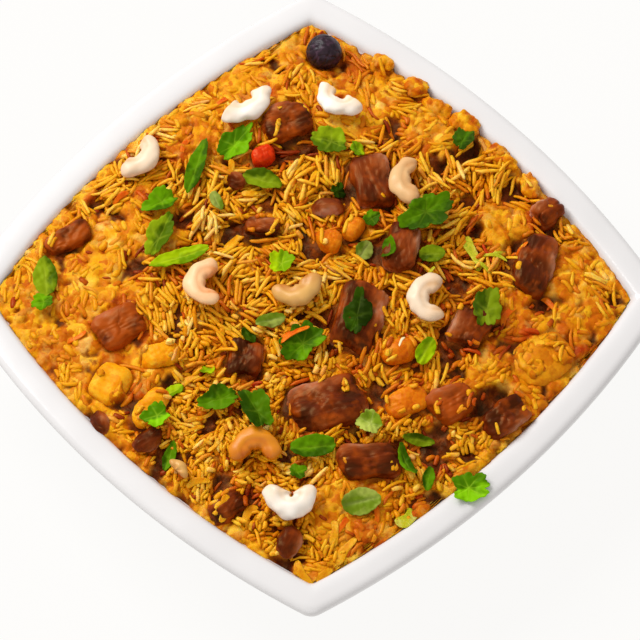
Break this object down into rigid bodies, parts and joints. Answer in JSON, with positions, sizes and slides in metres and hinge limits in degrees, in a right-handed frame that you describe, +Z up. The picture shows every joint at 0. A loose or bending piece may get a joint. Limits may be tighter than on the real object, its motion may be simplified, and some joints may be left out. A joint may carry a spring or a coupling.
{
  "type": "biryani in a square serving dish",
  "caption": "Rice dish heaped in a square dish with bowed sides and a rolled rim, with sunk meat and vegetable chunks, a plum, cashews and leaves on top.",
  "frame": {"origin": "centre of the dish's foot, on the surface that it stands on", "axes": "+Z up out of the dish; the dish's four sides run along X and Y, and the corner at +X -Y is the one nearest the eater"},
  "size_m": [0.284, 0.284, 0.0818],
  "materials": {
    "porcelain": "smooth white glaze, glossy",
    "rice": "cooked long-grain rice, saffron yellow to orange, oily",
    "meat": "browned braised meat, moist",
    "carrot": "soft cooked orange vegetable, glossy with oil",
    "potato": "soft cooked potato and onion, stained yellow",
    "tomato": "cooked red tomato, wet",
    "plum": "dark dried plum with fine wrinkles, glossy",
    "cashew": "cream to light golden fried cashew, satin",
    "leaf": "fresh coriander leaf, satin"
  },
  "bodies": {
    "root": {"dish": "porcelain", "rice": "rice", "plum": "plum", "tomato_01": "tomato", "potato_01": "potato", "potato_02": "potato", "potato_03": "potato", "carrot_01": "carrot", "carrot_02": "carrot", "carrot_03": "carrot", "carrot_04": "carrot", "carrot_05": "carrot", "meat_01": "meat", "meat_02": "meat", "meat_03": "meat", "meat_04": "meat", "meat_05": "meat", "meat_06": "meat", "meat_07": "meat", "meat_08": "meat", "meat_09": "meat", "meat_10": "meat", "meat_11": "meat", "meat_12": "meat", "meat_13": "meat", "meat_14": "meat", "meat_15": "meat", "meat_16": "meat", "cashew_01": "cashew", "cashew_02": "cashew", "cashew_03": "cashew", "cashew_04": "cashew", "cashew_05": "cashew", "cashew_06": "cashew", "cashew_07": "cashew", "cashew_08": "cashew", "cashew_09": "cashew", "cashew_10": "cashew", "leaf_01": "leaf", "leaf_02": "leaf", "leaf_03": "leaf", "leaf_04": "leaf", "leaf_05": "leaf", "leaf_06": "leaf", "leaf_07": "leaf", "leaf_08": "leaf", "leaf_09": "leaf", "leaf_10": "leaf", "leaf_11": "leaf", "leaf_12": "leaf", "leaf_13": "leaf", "leaf_14": "leaf", "leaf_15": "leaf", "leaf_16": "leaf", "leaf_17": "leaf", "leaf_18": "leaf", "leaf_19": "leaf", "leaf_20": "leaf", "leaf_21": "leaf", "leaf_22": "leaf"}
  },
  "joints": []
}
